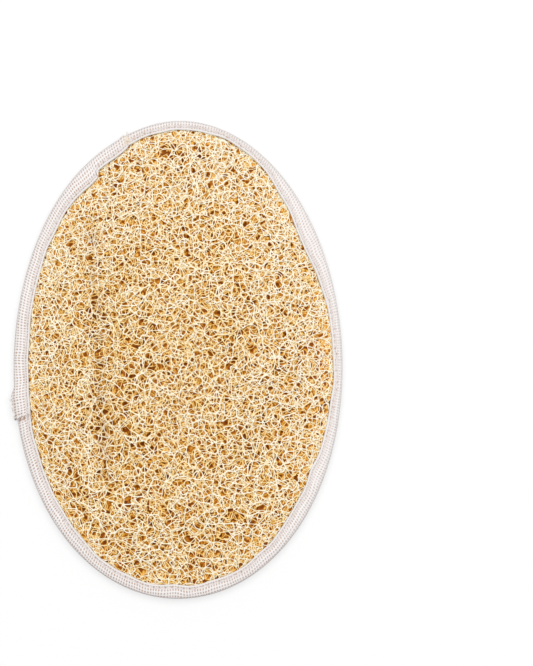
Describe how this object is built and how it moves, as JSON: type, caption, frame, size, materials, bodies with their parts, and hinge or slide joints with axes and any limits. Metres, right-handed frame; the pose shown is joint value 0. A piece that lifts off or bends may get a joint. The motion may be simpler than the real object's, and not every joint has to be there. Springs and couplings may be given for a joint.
{
  "type": "oval loofah bath pad",
  "caption": "Oval scrubbing pad: domed natural loofah net on a knitted cloth back, bound with folded tape, with an elastic hand strap across the hollow back",
  "frame": {"origin": "Middle of the pad's outline, on the plane that its rim rests on", "axes": "X is the pad's width, +Y is the length towards the narrower end, +Z points out of the loofah face"},
  "size_m": [0.1108, 0.1599, 0.0171],
  "materials": {
    "loofah_fibre": "dry matte plant fibre",
    "knit_cloth": "matte knit",
    "binding_tape": "matte woven tape",
    "sewing_thread": "soft sheen thread",
    "elastic_webbing": "ribbed elastic"
  },
  "bodies": {
    "root": {"loofah_mat": "loofah_fibre", "backing_cloth": "knit_cloth", "edge_binding": "binding_tape", "needle_thread": "sewing_thread", "bobbin_thread": "sewing_thread", "hand_strap": "elastic_webbing"}
  },
  "joints": []
}
